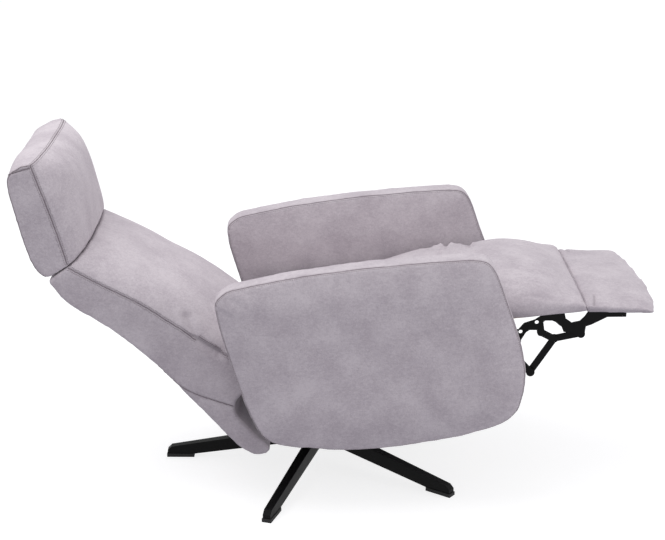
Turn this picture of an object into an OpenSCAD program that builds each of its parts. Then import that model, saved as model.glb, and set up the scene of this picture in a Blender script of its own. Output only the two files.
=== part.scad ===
// Star base swivel recliner: tilting seat unit, powered back and footrest, folding headrest.
// Origin: swivel axis on the floor. +X forward, +Y to the sitter's left, +Z up.
// The seat unit is drawn level and leans back about the tilt pin; pairs below are [x, z].

/* [Star base] */
// Radius from the swivel axis to the tip of a leg
leg_reach = 408; // [380:5:450]
// Height of a leg where it meets the hub
leg_root_h = 40; // [34:1:48]
// Height of a leg at its tip
leg_tip_h = 20; // [16:1:24]
// Width of a leg at the hub
leg_root_w = 27; // [22:1:32]
// Width of a leg at its tip
leg_tip_w = 20; // [16:1:24]
// Radius of the hub
hub_r = 32; // [30:1:40]
// Height of the hub
hub_h = 46; // [44:1:52]
// Height of the hub's underside above the floor
hub_clear = 52; // [48:1:56]
// Thickness of a foot pad
foot_pad_t = 9; // [7:1:11]
// Length of a foot pad
foot_pad_len = 72; // [60:1:84]
// Radius of the column
column_r = 26; // [24:1:29]

/* [Swivel head] */
// Height of the tilt pin above the floor
tilt_z = 170; // [168:1:176]
// Radius of the tilt pin
tilt_pin_r = 8; // [6:0.5:9]
// Radius of the swivel plate
swivel_plate_r = 84; // [80:1:90]
// Thickness of the swivel plate
swivel_plate_t = 6; // [5:0.5:8]
// How far the seat unit leans back, in degrees
recline = 6; // [6:0.5:7]

/* [Seat frame] */
// Height of the cushion's underside in the level seat unit
seat_base_z = 424.4; // [424.4:0.1:428]
// Height of a side rail
rail_h = 52; // [48:1:56]
// Where the side rails start behind the swivel axis
rail_back = 112; // [108:1:116]
// Where the side rails end in front of the swivel axis
rail_front = 390; // [380:1:396]
// Distance between the outer faces of the cradle plates
cradle_w = 132; // [126:1:140]
// Thickness of a steel plate
plate_t = 4; // [3.5:0.5:4.5]
// Depth of a cross bar
crossbar_d = 25; // [20:1:28]
// Height of a cross bar
crossbar_h = 20; // [16:1:22]

/* [Seat cushion] */
// Width of the seat cushion
seat_w = 528; // [516:1:530]
// Crown of the seat cushion above its side seam
seat_crown = 44; // [38:1:50]
// Height of the cushion's side
seat_side_h = 28; // [24:1:33]
// Depth of the cushion behind the swivel axis
seat_back_d = 93; // [84:1:94]
// Depth of the cushion's front above the footrest hinge
seat_front_d = 438; // [430:1:439]

/* [Arms] */
// Length of an arm
arm_len = 713; // [700:1:726]
// Height of an arm
arm_h = 458; // [450:1:470]
// Width of the strip round an arm's edge
arm_strip_w = 58; // [50:1:66]
// Crown of an arm's outer panel
arm_outer_crown = 24; // [16:1:30]
// Crown of an arm's inner panel
arm_inner_crown = 16; // [14:1:20]
// Distance between the arms' inner faces
arm_gap = 540; // [540:1:544]

/* [Back] */
// Width of the back
back_w = 510; // [504:1:514]
// Level distance from the skirt to the top of the back
back_run = 483; // [470:1:496]
// Height of the back from the skirt to the front edge of its top
back_rise = 536; // [524:1:548]
// Thickness of a side panel
back_side_t = 14; // [13:1:16]
// Thickness of the rear panel
back_panel_t = 8; // [6:1:10]
// Height of the back pivot in the level seat unit
back_pivot_z = 384; // [380:1:388]
// Length from the back pivot to the motor's cross pin
back_lever = 120; // [116:1:124]

/* [Headrest] */
// Width of the headrest
headrest_w = 510; // [500:1:516]
// Height of the headrest
headrest_h = 284; // [270:1:300]
// Thickness of the headrest's side
headrest_side_t = 60; // [54:1:66]
// Crown of the headrest over its side seam
headrest_crown = 66; // [50:1:72]

/* [Footrest] */
// Level distance from the swivel axis to the footrest hinge
footrest_hinge_x = 425; // [423:1:427]
// Height of the footrest hinge in the level seat unit
footrest_hinge_z = 430; // [429:1:432]
// Width of the footrest
footrest_w = 500; // [490:1:506]
// Length of the main pad
main_pad_len = 220; // [214:1:221]
// Length of the flap pad
flap_pad_len = 160; // [150:1:166]
// Crown of the footrest over its side
footrest_crown = 66; // [54:1:70]
// Height of the footrest's side
footrest_side_h = 14; // [11:1:18]
// Thickness of a footrest board
board_t = 12; // [11:1:13]
// Radius of the cross tube that the motor pulls
lever_tube_r = 8; // [6:0.5:9]
// Width of a steel link
link_w = 17; // [15:1:18]
// Radius of a link's rivet
rivet_r = 5; // [4:0.5:5]

/* [Motors] */
// Radius of a motor's outer tube
motor_tube_r = 18; // [16:1:20]
// Radius of a motor's rod
rod_r = 9; // [8:0.5:10]

/* [Hidden] */
$fn = 48;

// Clearances
seat_gap = 0.3;
running_gap = 0.05;
cut_over = 1;
pocket_gap = 1.5;
pad_edge = 14;
pad_inward = [-0.6, -0.8];

// Star base
leg_count = 5;
leg_turn = 34.3;
hub_top = hub_clear + hub_h;
leg_root_drop = 3;
leg_root_z = hub_top - leg_root_drop - leg_root_h;
leg_chamfer = 10;
foot_pad_over = 2;
foot_pad_w = leg_tip_w + 2 * foot_pad_over;
foot_inset = leg_reach + foot_pad_over - foot_pad_len;
column_top = 120;
column_wall_gap = 14;
spindle_r = 12;
bearing_t = 8;
bearing_lip = 4;
bearing_r = column_r + bearing_lip;
spindle_foot = 8;

// Swivel head and tilt
plate_z = column_top + bearing_t;
bracket_y = 30;
bracket_len = 50;
ear_rise = 16;
saddle_ear_gap = 4;
saddle_t = 6;
saddle_rise = 26;
saddle_back = 90;
saddle_front = 110;
saddle_z = tilt_z + saddle_rise;
saddle_ear_r = 16;
pin_end = 2;
buffer_x = 66;
buffer_r = 11;

// Seat frame: the rails run between the back's hinge plates and the arms
arm_inner = arm_gap / 2;
back_plate_out = back_w / 2 - back_side_t;
back_plate_in = back_plate_out - plate_t;
rail_play = 3;
rail_in = back_plate_out + rail_play;
rail_out = arm_inner - seat_gap;
rail_w = rail_out - rail_in;
rail_gap = 2 * rail_in;
rail_top = seat_base_z;
rail_bottom = rail_top - rail_h;
web_t = 3.1;
web_w = 52;
web_count = 5;
web_pitch = 84;
bar_top = seat_base_z - web_t;
bar_bottom = bar_top - crossbar_h;
front_bar_x = 290;
rear_bar_x = -30;
nose_plate_front = 392;
nose_plate_w = 400;
cradle_in = cradle_w / 2 - plate_t;
cradle_out = cradle_w / 2;

// Arms: outline of an arm from its lowest rear corner, as shares of its length and height
arm_x = -213;
arm_z = 165;
arm_skin_share = 0.976;
arm_core_in = arm_inner + arm_inner_crown;
arm_core_out = arm_core_in + arm_strip_w;
arm_outline_shares = [[0, 0.882], [0.003, 0.764], [0.020, 0.618], [0.045, 0.397], [0.080, 0.194],
  [0.116, 0.100], [0.165, 0.061], [0.251, 0.033], [0.369, 0.009], [0.541, 0], [0.728, 0.026],
  [0.875, 0.070], [0.952, 0.146], [0.992, 0.284], [1, 0.415], [0.980, 0.600], [0.951, 0.797],
  [0.926, 0.928], [0.891, 0.969], [0.762, 0.989], [0.551, 1], [0.327, 0.996], [0.130, 0.976],
  [0.032, 0.945]];
// Steps of a padded panel from its seam inwards: size of the ring, share of the crown
dome_shares = [[1, 0], [0.985, 0.42], [0.955, 0.72], [0.91, 0.90], [0.86, 0.98], [0.80, 1]];
arm_bolt_r = 5;
arm_bolt_head_r = 9;
arm_bolt_head_t = 3;
arm_bolt_x = [-60, 60, 180];

// Seat cushion
seat_nose_up = 19;
seat_nose_z = footrest_hinge_z + seat_nose_up;
seat_nose_over = 6;
seat_front_low = rail_front + seat_nose_over;
seat_nose_rise = 12;
seat_flat_share = 0.75;
// Seat cushion: shares of the length, of the side's height and of the crown, from rear to front
seat_shares = [[0, 0.35, 0.3], [0.04, 0.5, 0.65], [0.3, 0.5, 0.8], [0.53, 0.52, 0.88], [0.65, 0.72, 0.95],
  [0.76, 0.93, 0.98], [0.85, 1, 1], [0.94, 1, 0.8]];
seat_draw = 4;

// Back: shares of back_run behind the skirt's front and of back_rise above its foot
back_x = -130;
back_z = 130;
back_pivot_x = -95;
back_rear_shares = [[1, 0.946], [0.913, 0.834], [0.797, 0.746], [0.627, 0.608], [0.476, 0.446],
  [0.381, 0.326], [0.257, 0.170]];
back_skirt_shares = [[0.257, 0.170], [0.201, 0.099], [0.151, 0.045], [0.097, 0.007], [0.058, 0],
  [0.014, 0.011], [0, 0.037], [0.070, 0.110], [0.139, 0.192], [0.159, 0.220]];
back_hip_shares = [[0.155, 0.276], [0.062, 0.336]];
back_seam_shares = [[0.882, 1], [0.731, 0.907], [0.551, 0.797], [0.420, 0.696], [0.333, 0.632],
  [0.207, 0.543], [0.072, 0.448]];
back_crown_shares = [[0.772, 1.069], [0.652, 1.019], [0.476, 0.910], [0.331, 0.825], [0.203, 0.737],
  [0.100, 0.640], [0.012, 0.536]];
back_draw = 5;
back_pivot = [back_pivot_x, back_pivot_z];
back_pivot_r = 8;
back_swing = 36;
back_pin_r = 7;
back_pin = back_pivot + back_lever * [sin(back_swing / 2), -cos(back_swing / 2)];
upright_w = 24;
upright_t = 12;
upright_foot = [-225, 320];
upright_head = [-574, 622];
back_bar_r = 9;
back_plate_w = 32;
back_elbow_dx = 45;
back_elbow_dz = 52;
back_bar_shares = [0.08, 0.5, 0.95];

// Headrest: the crease between it and the back, and its hinge
crease_back = [-613, 637];
crease_front = [-556, 668];
crease_half = 1.2;
crease_along = (crease_front - crease_back) / norm(crease_front - crease_back);
crease_up = [-crease_along.y, crease_along.x];
top_board_gap = 3;
back_inward = [0.77, 0.64];
headrest_pin_in = 18;
headrest_pin_r = 4;
headrest_leaf_y = 118;
headrest_leaf_w = 14;
headrest_eye_r = 7;
headrest_leaf_up = 90;
headrest_draw = 4;
headrest_lean = 10.5;
// Rear of the headrest: shares of its height and of its depth behind the seam
headrest_rear_shares = [[0.5, 0], [0.915, 0], [0.905, 0.6], [0.875, 1], [0.72, 1.04], [0.45, 1.15],
  [0.2, 1.2], [0.06, 1.12]];
// Front of the headrest: shares of its height at the seam and at the crown, and of the crown
headrest_front_shares = [[0, 0.12, 0.86], [0.16, 0.16, 1], [0.38, 0.38, 1], [0.6, 0.6, 0.97],
  [0.8, 0.84, 0.9], [0.915, 0.98, 0.42]];

// Footrest linkage: pivots measured from the footrest hinge
hinge = [footrest_hinge_x, footrest_hinge_z];
flap_pivot_dx = 200;
flap_pivot_dz = -51.9;
main_pivot_dx = 131.6;
main_pivot_dz = -55.5;
joint_dx = 164.9;
joint_dz = -78.1;
low_pivot_dx = 100.1;
low_pivot_dz = -158.2;
flap_end_dx = 230;
flap_end_dz = -72;
bar_pivot_dx = -4.4;
bar_pivot_dz = -13.7;
lever_reach = 100;
lever_turn = 45;
flap_pivot = hinge + [flap_pivot_dx, flap_pivot_dz];
main_pivot = hinge + [main_pivot_dx, main_pivot_dz];
joint_pivot = hinge + [joint_dx, joint_dz];
low_pivot = hinge + [low_pivot_dx, low_pivot_dz];
flap_end_pivot = hinge + [flap_end_dx, flap_end_dz];
bar_pivot = hinge + [bar_pivot_dx, bar_pivot_dz];
lever_pivot = hinge + lever_reach * [cos(lever_turn), -sin(lever_turn)];
layer_gap = 2;
rivet_head_t = 2;
outer_layer = rail_in - cut_over - rivet_head_t - plate_t;
middle_layer = outer_layer - plate_t - layer_gap;
inner_layer = middle_layer - plate_t - layer_gap;
eye_r = link_w / 2;
hinge_eye_r = 11;
open_eye_r = 10.5;
open_play = 1.6;
open_hole_r = rivet_r + open_play;
main_eye_r = 12;
// Plate of the footrest bracket, in shares of the way from the hinge to the flap: the lower edge
// from the lever's eye, round the window and past the flap's eye, then the edge over the lever
main_low_shares = [[0.31, -0.395], [0.375, -0.395], [0.48, -0.25], [0.525, -0.225], [0.61, -0.235],
  [0.675, -0.3], [0.705, -0.25], [0.7, -0.14], [0.725, -0.125], [0.81, -0.135], [0.85, -0.16],
  [0.885, -0.2], [0.915, -0.225], [0.935, -0.295], [1, -0.31], [1.055, -0.26], [1.05, -0.195],
  [1, -0.15], [0.975, -0.13]];
main_high_shares = [[0.6, -0.1], [0.465, -0.13], [0.39, -0.205], [0.315, -0.17]];
main_board_shares = [0.965, 0.685, 0.275];
main_hole_shares = [[0.62, -0.135], [0.415, -0.235]];
flap_eye_r = 10;
flap_bar_share = 0.6;
flap_bar_h_share = 0.3;
// Edges of the flap's bracket below and above, in shares of its board's height over the pivot
flap_low_shares = [[0.93, 0.1], [1.22, 0.21], [2.02, 0.66]];
flap_high_shares = [[0.83, 0.66], [0.58, 0.39], [0.24, 0.31]];
board_drop = 11;
main_board_back = 25;
main_pad_back = 21;
board_z = footrest_hinge_z - board_drop;
pad_z = board_z + board_t + seat_gap;
flap_droop = 8;
flap_lift = 46;
flap_start = 43;
flap_board_t = 8;
footrest_draw = 3;
// Footrest pads: shares of the length, of the side's height and of the crown, from start to end
main_shares = [[0, 0.57, 0.45], [0.06, 0.93, 0.83], [0.25, 1, 1], [0.47, 1, 0.91], [0.65, 0.93, 0.71],
  [0.77, 0.79, 0.5], [0.93, 0.57, 0.16], [1, 0.36, 0.08]];
flap_shares = [[0, 0.29, 0.06], [0.06, 0.36, 0.09], [0.3, 0.43, 0.14], [0.55, 0.43, 0.15], [0.8, 0.36, 0.12],
  [0.95, 0.29, 0.08], [1, 0.21, 0.03]];

// Motors
footrest_rod_z = (lever_pivot.y + hinge.y - lever_reach) / 2;
fork_play = 4;
fork_t = 16;
fork_wall = 6;
motor_tube_back = 100;
motor_tube_front = 328;
motor_cap = 12;
gearbox_len = 52;
gearbox_h = 44;
motor_can_r = 16;
motor_can_y = 36;
motor_can_len = 92;
rod_tail = 246;
back_rod_z = back_pivot.y - back_lever * (1 + cos(back_swing / 2)) / 2;
back_tube_back = -28;
back_tube_front = 150;
back_rod_tail = 128;

// Point helpers
function mix(a, b, t) = a + (b - a) * t;
function curve_at(a, b, c, d, t) =
  0.5 * (2 * b + (c - a) * t + (2 * a - 5 * b + 4 * c - d) * t * t + (3 * b - a - 3 * c + d) * t * t * t);
// Closed smooth ring through hand-picked points
function smooth_ring(p, n) = [for (i = [0 : len(p) - 1]) for (k = [0 : n - 1])
  curve_at(p[(i + len(p) - 1) % len(p)], p[i], p[(i + 1) % len(p)], p[(i + 2) % len(p)], k / n)];
// Open smooth line through hand-picked points
function smooth_line(p, n) = concat([for (i = [0 : len(p) - 2]) for (k = [0 : n - 1])
  curve_at(p[max(i - 1, 0)], p[i], p[i + 1], p[min(i + 2, len(p) - 1)], k / n)], [p[len(p) - 1]]);
function reversed(p) = [for (i = [len(p) - 1 : -1 : 0]) p[i]];
function moved(p, d) = [for (q = p) q + d];
function arm_point(s) = [arm_x + arm_len * s.x, arm_z + arm_h * s.y];
function arm_ring(size) = let(c = arm_point([0.5, 0.5]))
  [for (q = smooth_ring([for (s = arm_outline_shares) arm_point(s)], 2)) c + (q - c) * size];
function back_points(shares) = [for (s = shares) [back_x - back_run * s.x, back_z + back_rise * s.y]];
// Rise of a crowned pad from its side seam (1) to its middle (0)
crown_flat = 3;
crown_round = 0.6;
function crown_rise(t) = pow(1 - pow(abs(t), crown_flat), crown_round);
pad_step_shares = [-1, -0.975, -0.92, -0.82, -0.66, -0.4, 0, 0.4, 0.66, 0.82, 0.92, 0.975, 1];

// Turns level seat-unit geometry to its leaning place
module seat_frame() {
  translate([0, 0, tilt_z])
    rotate([0, -recline, 0])
      translate([0, 0, -tilt_z])
        children();
}

// Extrudes an [x, z] outline from y0 to y1
module slab(y0, y1) {
  rotate([90, 0, 0])
    translate([0, 0, -y1])
      linear_extrude(height = y1 - y0)
        children();
}

// The same slab on the sitter's left and right
module slab_pair(y0, y1) {
  slab(y0, y1) children();
  slab(-y1, -y0) children();
}

// A round bar along Y through an [x, z] point
module cross_rod(p, r, y0, y1) {
  translate([p.x, y1, p.y])
    rotate([90, 0, 0])
      cylinder(r = r, h = y1 - y0);
}

module cross_rod_pair(p, r, y0, y1) {
  cross_rod(p, r, y0, y1);
  cross_rod(p, r, -y1, -y0);
}

// A flat bar between two [x, z] points
module bar_2d(a, b, w) {
  d = b - a;
  n = [-d.y, d.x] / norm(d) * w / 2;
  polygon([a + n, a - n, b - n, b + n]);
}

// A straight link with round ends and holes
module link_2d(a, b, w, r_a, r_b, hole_a, hole_b) {
  difference() {
    union() {
      bar_2d(a, b, w);
      if (r_a > 0) translate(a) circle(r = r_a);
      if (r_b > 0) translate(b) circle(r = r_b);
    }
    if (hole_a > 0) translate(a) circle(r = hole_a);
    if (hole_b > 0) translate(b) circle(r = hole_b);
  }
}

// A crowned pad: side seam, middle crown and underside are [x, z] lines with as many points
module crowned_pad(seam, crown, under, half_w, draw) {
  n = len(seam);
  m = 2 * n;
  last = len(pad_step_shares) - 1;
  points = [for (t = pad_step_shares) let(c = crown_rise(t)) each concat(
    [for (j = [0 : n - 1]) let(q = mix(seam[j], crown[j], c), w = half_w - draw * sin(180 * j / (n - 1)))
      [q.x, t * w, q.y]],
    [for (j = [n - 1 : -1 : 0]) let(w = half_w - draw * sin(180 * j / (n - 1)))
      [under[j].x, t * w, under[j].y]])];
  sides = [for (i = [0 : last - 1]) for (j = [0 : m - 1]) let(k = (j + 1) % m)
    each [[i * m + j, i * m + k, (i + 1) * m + k], [i * m + j, (i + 1) * m + k, (i + 1) * m + j]]];
  ends = [for (j = [0 : n - 2]) let(a = m - 1 - j, b = m - 2 - j, o = last * m) each [
    [j, a, b], [j, b, j + 1], [o + j, o + b, o + a], [o + j, o + j + 1, o + b]]];
  polyhedron(points, concat(sides, ends));
}

// A padded arm panel: flat at the seam plane y0, crowned towards y1
module arm_dome(y0, y1) {
  rings = [for (s = dome_shares) arm_ring(s.x)];
  m = len(rings[0]);
  last = len(rings) - 1;
  flip = y1 > y0 ? 1 : -1;
  points = [for (i = [0 : last]) for (q = rings[i]) [q.x, mix(y0, y1, dome_shares[i].y), q.y]];
  sides = [for (i = [0 : last - 1]) for (j = [0 : m - 1]) let(k = (j + 1) % m)
    each [[i * m + j, i * m + k, (i + 1) * m + k], [i * m + j, (i + 1) * m + k, (i + 1) * m + j]]];
  ends = [[for (j = [m - 1 : -1 : 0]) j], [for (j = [0 : m - 1]) last * m + j]];
  faces = concat(sides, ends);
  polyhedron(points, flip > 0 ? faces : [for (f = faces) reversed(f)]);
}

// Star base

module base_hub() {
  color("#1b1c1d") difference() {
    translate([0, 0, hub_clear]) cylinder(r = hub_r, h = hub_h);
    translate([0, 0, hub_clear + spindle_foot]) cylinder(r = column_r, h = hub_h);
  }
}

module base_leg(i) {
  tip_z = foot_pad_t;
  color("#1b1c1d") rotate([0, 0, leg_turn + i * 360 / leg_count]) difference() {
    intersection() {
      slab(-leg_root_w, leg_root_w) polygon([
        [0, leg_root_z], [0, leg_root_z + leg_root_h],
        [leg_reach - leg_chamfer, tip_z + leg_tip_h], [leg_reach, tip_z + leg_tip_h / 2],
        [leg_reach, tip_z], [foot_inset, tip_z]]);
      linear_extrude(height = hub_top) polygon([
        [0, -leg_root_w / 2], [leg_reach, -leg_tip_w / 2],
        [leg_reach, leg_tip_w / 2], [0, leg_root_w / 2]]);
    }
    cylinder(r = hub_r, h = hub_top + cut_over);
  }
}

module foot_pads() {
  color("#222324") for (i = [0 : leg_count - 1])
    rotate([0, 0, leg_turn + i * 360 / leg_count])
      translate([foot_inset, -foot_pad_w / 2, 0])
        cube([foot_pad_len, foot_pad_w, foot_pad_t]);
}

module column() {
  color("#2a2b2c") difference() {
    translate([0, 0, hub_clear + spindle_foot])
      cylinder(r = column_r, h = column_top - hub_clear - spindle_foot);
    translate([0, 0, hub_clear + column_wall_gap])
      cylinder(r = spindle_r + running_gap, h = column_top);
  }
}

module swivel_bearing() {
  color("#8d9093") translate([0, 0, column_top]) difference() {
    cylinder(r = bearing_r, h = bearing_t - seat_gap);
    translate([0, 0, -cut_over]) cylinder(r = spindle_r + running_gap, h = bearing_t + 2 * cut_over);
  }
}

// Swivel head

module swivel_plate() {
  color("#232425") {
    translate([0, 0, plate_z]) cylinder(r = swivel_plate_r, h = swivel_plate_t);
    translate([0, 0, hub_clear + column_wall_gap + seat_gap])
      cylinder(r = spindle_r, h = plate_z - hub_clear - column_wall_gap - seat_gap);
  }
}

module tilt_bracket() {
  color("#2d2e30") difference() {
    slab_pair(bracket_y, bracket_y + saddle_t) polygon([
      [-bracket_len / 2, plate_z + swivel_plate_t], [bracket_len / 2, plate_z + swivel_plate_t],
      [ear_rise, tilt_z + ear_rise], [-ear_rise, tilt_z + ear_rise]]);
    cross_rod([0, tilt_z], tilt_pin_r + running_gap, -bracket_len, bracket_len);
  }
}

module tilt_pin() {
  reach = bracket_y + 2 * saddle_t + saddle_ear_gap + pin_end;
  color("#a3a6a9") cross_rod([0, tilt_z], tilt_pin_r, -reach, reach);
}

module tilt_buffers() {
  low = plate_z + swivel_plate_t;
  color("#161616") {
    translate([buffer_x, 0, low]) cylinder(r = buffer_r, h = saddle_z - low - seat_gap);
    difference() {
      translate([-buffer_x, 0, low]) cylinder(r = buffer_r, h = saddle_z - low);
      seat_frame() translate([-saddle_back, -buffer_r - cut_over, saddle_z - seat_gap])
        cube([saddle_back, 2 * (buffer_r + cut_over), saddle_z]);
    }
  }
}

// Seat frame

module tilt_saddle() {
  ear_in = bracket_y + saddle_t + saddle_ear_gap;
  color("#2d2e30") seat_frame() difference() {
    union() {
      translate([-saddle_back, -cradle_in, saddle_z])
        cube([saddle_back + saddle_front, 2 * cradle_in, saddle_t]);
      slab_pair(ear_in, ear_in + saddle_t) {
        translate([0, tilt_z]) circle(r = saddle_ear_r);
        translate([-saddle_ear_r, tilt_z]) square([2 * saddle_ear_r, saddle_rise]);
      }
    }
    cross_rod([0, tilt_z], tilt_pin_r + running_gap, -cradle_out, cradle_out);
  }
}

module cradle_plates() {
  color("#2d2e30") seat_frame() slab_pair(cradle_in, cradle_out) polygon([
    [rear_bar_x, saddle_z], [saddle_front, saddle_z],
    [front_bar_x + crossbar_d, bar_bottom], [rear_bar_x, bar_bottom]]);
}

module rail(side) {
  y = side > 0 ? rail_in : -rail_out;
  color("#3a3b3d") seat_frame() difference() {
    translate([-rail_back, y, rail_bottom]) cube([rail_back + rail_front, rail_w, rail_h]);
    cross_rod(back_pivot, back_pivot_r + running_gap, y - cut_over, y + rail_w + cut_over);
    for (x = arm_bolt_x)
      cross_rod([x, rail_top - rail_h / 2], arm_bolt_r, y - cut_over, y + rail_w + cut_over);
  }
}

module front_crossbar() {
  color("#3a3b3d") seat_frame() {
    translate([front_bar_x, -rail_in, bar_bottom]) cube([crossbar_d, rail_gap, crossbar_h]);
    translate([front_bar_x + crossbar_d, -nose_plate_w / 2, bar_top - plate_t])
      cube([nose_plate_front - front_bar_x - crossbar_d, nose_plate_w, plate_t + web_t - seat_gap]);
  }
}

module rear_crossbar() {
  color("#3a3b3d") seat_frame()
    translate([rear_bar_x, -rail_in, bar_bottom]) cube([crossbar_d, rail_gap, crossbar_h]);
}

module seat_webbing() {
  color("#55524e") seat_frame() for (i = [0 : web_count - 1])
    translate([rear_bar_x, (i - (web_count - 1) / 2) * web_pitch - web_w / 2, bar_top])
      cube([front_bar_x - rear_bar_x + crossbar_d - cut_over, web_w, web_t - seat_gap]);
}

module hinge_brackets() {
  color("#141515") seat_frame() {
    slab_pair(inner_layer, inner_layer + plate_t) {
      polygon([[front_bar_x + crossbar_d, bar_bottom], bar_pivot - [0, link_w / 2],
        hinge + [link_w / 2, -link_w / 2], hinge + [-link_w / 2, link_w / 2],
        [nose_plate_front, bar_top - plate_t], [front_bar_x + crossbar_d, bar_top - plate_t]]);
      translate(hinge) circle(r = hinge_eye_r);
    }
    cross_rod_pair(hinge, rivet_r, inner_layer + plate_t, outer_layer + plate_t + rivet_head_t);
    cross_rod_pair(bar_pivot, rivet_r, inner_layer + plate_t, middle_layer + plate_t + layer_gap / 4);
  }
}

module arm_core(side) {
  y0 = side > 0 ? arm_core_in : -arm_core_out;
  color("#8b7f70") seat_frame() slab(y0, y0 + arm_strip_w) polygon(arm_ring(arm_skin_share));
}

module arm_strip(side) {
  y0 = side > 0 ? arm_core_in : -arm_core_out;
  color("#c9c2c3") seat_frame() slab(y0, y0 + arm_strip_w) difference() {
    polygon(arm_ring(1));
    polygon(arm_ring(arm_skin_share));
  }
}

module arm_outer_pad(side) {
  color("#b3abb0") seat_frame() arm_dome(side * arm_core_out, side * (arm_core_out + arm_outer_crown));
}

module arm_inner_pad(side) {
  color("#b3abb0") seat_frame() arm_dome(side * arm_core_in, side * arm_inner);
}

module arm_bolts() {
  color("#8d9093") seat_frame() for (x = arm_bolt_x) {
    p = [x, rail_top - rail_h / 2];
    cross_rod_pair(p, arm_bolt_r, rail_in, rail_out);
    cross_rod_pair(p, arm_bolt_head_r, rail_in - arm_bolt_head_t, rail_in);
  }
}

// A motor: tube along X with a gearbox, a side can and cross trunnions to the cradle plates
module motor(z, back, front, box_x, bore_back, bore_front) {
  difference() {
    union() {
      translate([back, 0, z]) rotate([0, 90, 0]) cylinder(r = motor_tube_r, h = front - back);
      translate([box_x, -gearbox_h / 2, z - gearbox_h / 2])
        cube([gearbox_len, gearbox_h / 2 + motor_can_y + motor_can_r, gearbox_h]);
      translate([box_x, motor_can_y, z]) rotate([0, 90, 0]) cylinder(r = motor_can_r, h = motor_can_len);
      cross_rod([box_x + gearbox_len / 2, z], tilt_pin_r, -cradle_in, cradle_in);
    }
    translate([bore_back, 0, z]) rotate([0, 90, 0])
      cylinder(r = rod_r + running_gap, h = bore_front - bore_back);
  }
}

module footrest_motor() {
  color("#303133") seat_frame() motor(footrest_rod_z, motor_tube_back - motor_cap, motor_tube_front,
    motor_tube_back - motor_cap, motor_tube_back, motor_tube_front + cut_over);
}

module back_motor() {
  color("#303133") seat_frame() motor(back_rod_z, back_tube_back, back_tube_front + motor_cap,
    back_tube_front + motor_cap - gearbox_len, back_tube_back - cut_over, back_tube_front);
}

module seat_cushion() {
  under_z = seat_base_z + seat_gap;
  rear = -seat_back_d;
  front = seat_front_d;
  foot = [rear, under_z + pad_edge / 2];
  nose = [front, seat_nose_z + pad_edge / 2];
  low = [for (s = seat_shares) [mix(rear, front, s[0]), under_z + seat_side_h * s[1]]];
  rise = [for (s = seat_shares) [0, seat_crown * s[2]]];
  seam = smooth_line(concat([foot], low, [nose]), 2);
  crown = smooth_line(concat([foot], low + rise, [nose]), 2);
  under = [for (i = [0 : len(seam) - 1]) let(t = i / (len(seam) - 1), u = t - seat_flat_share)
    u < 0 ? [mix(rear, seat_front_low, t / seat_flat_share), under_z]
      : [mix(seat_front_low, front, u / (1 - seat_flat_share)),
        mix(under_z, seat_nose_z, min(1, u * seat_nose_rise))]];
  color("#cdc4c3") seat_frame()
    crowned_pad(reversed(seam), reversed(crown), reversed(under), seat_w / 2, seat_draw);
}

module footrest_rod() {
  slot_low = hinge.y - lever_reach - lever_tube_r - fork_play;
  slot_high = lever_pivot.y + lever_tube_r + fork_play;
  half = lever_tube_r + fork_play;
  color("#b4b6b8") seat_frame() {
    translate([rod_tail, 0, footrest_rod_z]) rotate([0, 90, 0])
      cylinder(r = rod_r, h = lever_pivot.x - half - fork_wall - rod_tail);
    slab(-fork_t / 2, fork_t / 2) difference() {
      translate([lever_pivot.x - half - fork_wall, slot_low - fork_wall])
        square([2 * (half + fork_wall), slot_high - slot_low + 2 * fork_wall]);
      translate([lever_pivot.x - half, slot_low]) square([2 * half, slot_high - slot_low]);
    }
  }
}

module back_rod() {
  slot_low = back_pivot.y - back_lever - back_pin_r - fork_play / 2;
  slot_high = back_pin.y + back_pin_r + fork_play / 2;
  half = back_pin_r + fork_play / 4;
  color("#b4b6b8") seat_frame() {
    translate([back_pin.x + half + fork_wall, 0, back_rod_z]) rotate([0, 90, 0])
      cylinder(r = rod_r, h = back_rod_tail - back_pin.x - half - fork_wall);
    slab(-fork_t / 2, fork_t / 2) difference() {
      translate([back_pin.x - half - fork_wall, slot_low - fork_wall])
        square([2 * (half + fork_wall), slot_high - slot_low + 2 * fork_wall]);
      translate([back_pin.x - half, slot_low]) square([2 * half, slot_high - slot_low]);
    }
  }
}

// Back

module back_uprights() {
  color("#3a3b3d") seat_frame() slab_pair(back_plate_in - upright_t, back_plate_in)
    bar_2d(upright_foot, upright_head, upright_w);
}

module back_crossbars() {
  reach = back_plate_in - upright_t;
  color("#3a3b3d") seat_frame() for (s = back_bar_shares)
    cross_rod(mix(upright_foot, upright_head, s), back_bar_r, -reach, reach);
}

module back_hinge_plates() {
  lean = upright_head - upright_foot;
  along = lean / norm(lean) * 2 * upright_w;
  elbow = back_pivot - [back_elbow_dx, back_elbow_dz];
  color("#2d2e30") seat_frame() {
    slab_pair(back_plate_in, back_plate_out) {
      bar_2d(back_pivot, elbow, back_plate_w);
      bar_2d(elbow, upright_foot + along / 4, back_plate_w);
      bar_2d(elbow, back_pin, upright_w);
      bar_2d(upright_foot, upright_foot + along, upright_w);
      translate(back_pivot) circle(r = back_plate_w / 2);
      translate(elbow) circle(r = back_plate_w / 2);
      translate(back_pin) circle(r = upright_w / 2);
    }
    cross_rod_pair(back_pivot, back_pivot_r, back_plate_out, rail_out - seat_gap);
  }
}

module back_cross_pin() {
  color("#8d9093") seat_frame() cross_rod(back_pin, back_pin_r, -back_plate_in, back_plate_in);
}

module back_side(side) {
  y0 = side > 0 ? back_w / 2 - back_side_t : -back_w / 2;
  lift = pad_inward * pad_edge;
  rear = back_points(back_rear_shares);
  skirt = back_points(back_skirt_shares);
  outline = concat(rear, [for (i = [1 : len(skirt) - 1]) skirt[i]], back_points(back_hip_shares),
    reversed(moved(back_points(back_seam_shares), lift)));
  color("#b0a8ad") seat_frame() slab(y0, y0 + back_side_t) polygon(outline);
}

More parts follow.
